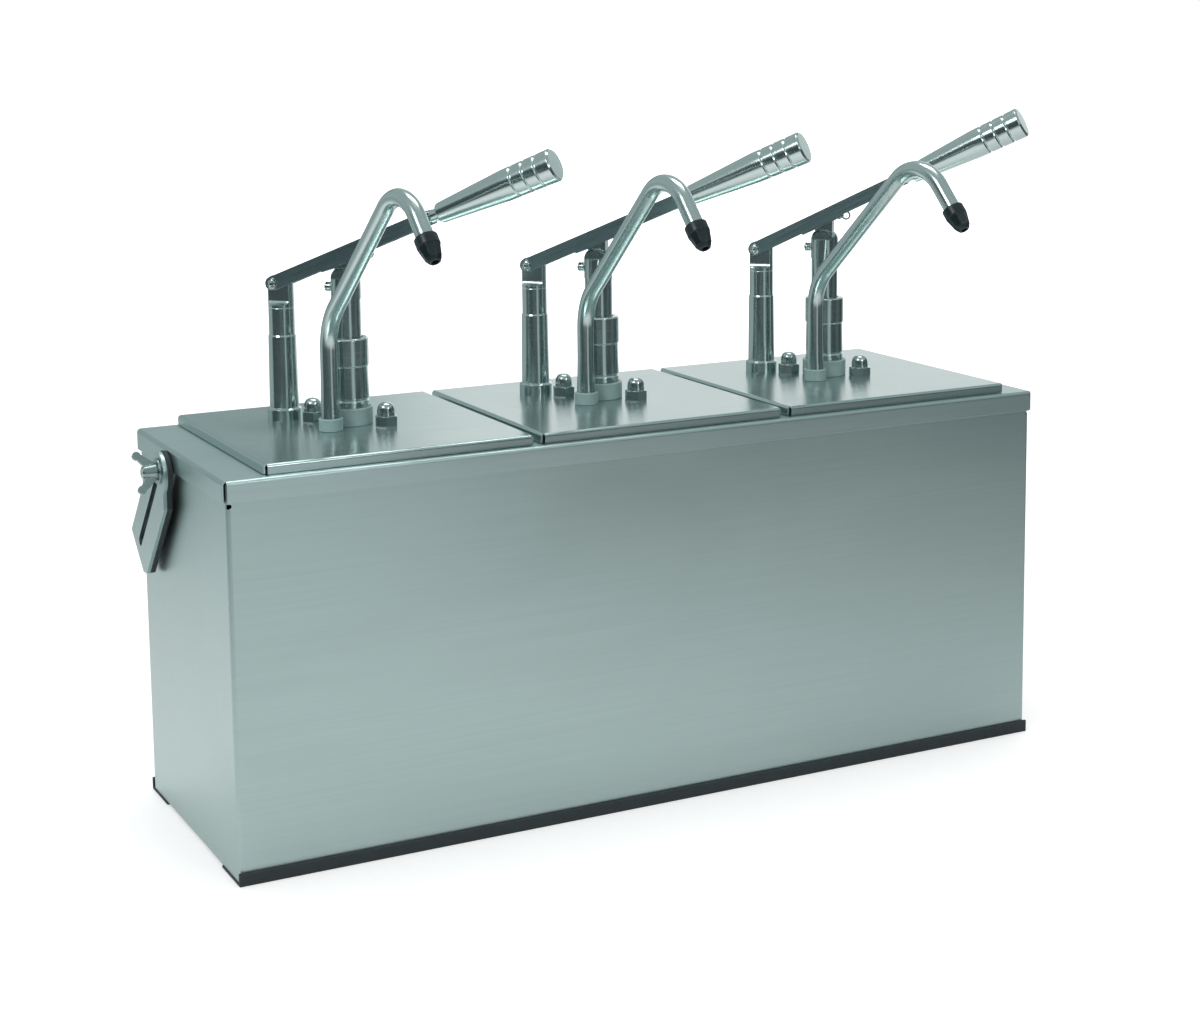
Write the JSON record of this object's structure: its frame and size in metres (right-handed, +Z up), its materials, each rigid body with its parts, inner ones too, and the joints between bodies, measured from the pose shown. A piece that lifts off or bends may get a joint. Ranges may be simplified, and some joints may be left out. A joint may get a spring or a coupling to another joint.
{
  "type": "sauce dispenser",
  "caption": "Counter-top steel housing with deep lidded pans in a row, each with a lever pump and a bent spout, and slotted clamp plates on its sides.",
  "frame": {"origin": "middle of the front wall's outer face, at the height of the counter", "axes": "+X along the row of pans to the right, +Y from the front wall to the back, +Z up"},
  "size_m": [0.6116, 0.2443, 0.4322],
  "materials": {
    "satin_steel": "brushed along its length",
    "lid_steel": "smooth, half bright",
    "polished_steel": "polished",
    "bright_steel": "bright",
    "dark_steel": "smooth, dull",
    "ring_plastic": "milky and smooth",
    "black_plastic": "moulded",
    "black_rubber": "plain"
  },
  "bodies": {
    "base": {"housing": "satin_steel", "rim_frame": "satin_steel", "foot_strips": "black_rubber", "clamp_studs": "bright_steel"},
    "left_pan": {"left_pan": "satin_steel"},
    "left_lid": {"left_lid": "lid_steel", "left_post": "polished_steel", "left_fulcrum_pin": "bright_steel", "left_pump_head": "polished_steel", "left_lid_rings": "ring_plastic", "left_spout": "polished_steel", "left_nozzle": "black_plastic", "left_cap_nuts": "bright_steel", "left_barrel": "satin_steel", "left_spring": "bright_steel"},
    "left_lever": {"left_lever": "dark_steel", "left_handle": "polished_steel", "left_saddle": "dark_steel"},
    "left_piston": {"left_piston": "polished_steel", "left_lock_screw": "bright_steel"},
    "middle_pan": {"middle_pan": "satin_steel"},
    "middle_lid": {"middle_lid": "lid_steel", "middle_post": "polished_steel", "middle_fulcrum_pin": "bright_steel", "middle_pump_head": "polished_steel", "middle_lid_rings": "ring_plastic", "middle_spout": "polished_steel", "middle_nozzle": "black_plastic", "middle_cap_nuts": "bright_steel", "middle_barrel": "satin_steel", "middle_spring": "bright_steel"},
    "middle_lever": {"middle_lever": "dark_steel", "middle_handle": "polished_steel", "middle_saddle": "dark_steel"},
    "middle_piston": {"middle_piston": "polished_steel", "middle_lock_screw": "bright_steel"},
    "right_pan": {"right_pan": "satin_steel"},
    "right_lid": {"right_lid": "lid_steel", "right_post": "polished_steel", "right_fulcrum_pin": "bright_steel", "right_pump_head": "polished_steel", "right_lid_rings": "ring_plastic", "right_spout": "polished_steel", "right_nozzle": "black_plastic", "right_cap_nuts": "bright_steel", "right_barrel": "satin_steel", "right_spring": "bright_steel"},
    "right_lever": {"right_lever": "dark_steel", "right_handle": "polished_steel", "right_saddle": "dark_steel"},
    "right_piston": {"right_piston": "polished_steel", "right_lock_screw": "bright_steel"},
    "left_washer": {"left_washer": "bright_steel"},
    "left_clamp": {"left_clamp_plate": "satin_steel", "left_clamp_pad": "black_rubber"},
    "left_wing_nut": {"left_wing_nut": "bright_steel"},
    "right_washer": {"right_washer": "bright_steel"},
    "right_clamp": {"right_clamp_plate": "satin_steel", "right_clamp_pad": "black_rubber"},
    "right_wing_nut": {"right_wing_nut": "bright_steel"}
  },
  "joints": [
    {"name": "left_pan_lift", "type": "slide", "parent": "base", "child": "left_pan", "axis": [0, 0, 1], "range_m": [0, 0.2]},
    {"name": "left_lid_lift", "type": "slide", "parent": "left_pan", "child": "left_lid", "axis": [0, 0, 1], "range_m": [0, 0.2]},
    {"name": "left_lever_press", "type": "hinge", "parent": "left_lid", "child": "left_lever", "pos_m": [-0.20485, 0.13346, 0.3332], "axis": [0.7314, 0.682, 0], "range_deg": [0, 30.2], "stiffness_Nm_per_rad": 1.5, "springref_deg": -45.84},
    {"name": "left_piston_stroke", "type": "slide", "parent": "left_lid", "child": "left_piston", "axis": [0, 0, -1], "range_m": [0, 0.02656], "deforming": ["left_spring"]},
    {"name": "middle_pan_lift", "type": "slide", "parent": "base", "child": "middle_pan", "axis": [0, 0, 1], "range_m": [0, 0.14]},
    {"name": "middle_lid_lift", "type": "slide", "parent": "middle_pan", "child": "middle_lid", "axis": [0, 0, 1], "range_m": [0, 0.14]},
    {"name": "middle_lever_press", "type": "hinge", "parent": "middle_lid", "child": "middle_lever", "pos_m": [-0.02885, 0.13346, 0.3332], "axis": [0.7314, 0.682, 0], "range_deg": [0, 31.2], "stiffness_Nm_per_rad": 1.5, "springref_deg": -45.84},
    {"name": "middle_piston_stroke", "type": "slide", "parent": "middle_lid", "child": "middle_piston", "axis": [0, 0, -1], "range_m": [0, 0.02739], "deforming": ["middle_spring"]},
    {"name": "right_pan_lift", "type": "slide", "parent": "base", "child": "right_pan", "axis": [0, 0, 1], "range_m": [0, 0.14]},
    {"name": "right_lid_lift", "type": "slide", "parent": "right_pan", "child": "right_lid", "axis": [0, 0, 1], "range_m": [0, 0.14]},
    {"name": "right_lever_press", "type": "hinge", "parent": "right_lid", "child": "right_lever", "pos_m": [0.14715, 0.13346, 0.3332], "axis": [0.7314, 0.682, 0], "range_deg": [0, 34.1], "stiffness_Nm_per_rad": 1.5, "springref_deg": -45.84},
    {"name": "right_piston_stroke", "type": "slide", "parent": "right_lid", "child": "right_piston", "axis": [0, 0, -1], "range_m": [0, 0.02976], "deforming": ["right_spring"]},
    {"name": "left_clamp_swing", "type": "hinge", "parent": "base", "child": "left_washer", "pos_m": [-0.2913, 0.1086, 0.2264], "axis": [1, 0, 0], "range_deg": [-42, 47]},
    {"name": "left_clamp_slide", "type": "slide", "parent": "left_washer", "child": "left_clamp", "axis": [0, -0.6717, 0.7408], "range_m": [0, 0.072]},
    {"name": "left_wing_nut_turn", "type": "hinge", "parent": "base", "child": "left_wing_nut", "pos_m": [-0.2913, 0.1086, 0.2264], "axis": [-1, 0, 0], "continuous": true},
    {"name": "right_clamp_swing", "type": "hinge", "parent": "base", "child": "right_washer", "pos_m": [0.2913, 0.1086, 0.2264], "axis": [1, 0, 0], "range_deg": [-42, 47]},
    {"name": "right_clamp_slide", "type": "slide", "parent": "right_washer", "child": "right_clamp", "axis": [0, -0.6717, 0.7408], "range_m": [0, 0.072]},
    {"name": "right_wing_nut_turn", "type": "hinge", "parent": "base", "child": "right_wing_nut", "pos_m": [0.2913, 0.1086, 0.2264], "axis": [1, 0, 0], "continuous": true}
  ],
  "couplings": [
    {"joint": "left_piston_stroke", "follows": "left_lever_press", "m_per_rad": 0.050012},
    {"joint": "middle_piston_stroke", "follows": "middle_lever_press", "m_per_rad": 0.04993},
    {"joint": "right_piston_stroke", "follows": "right_lever_press", "m_per_rad": 0.049663}
  ]
}
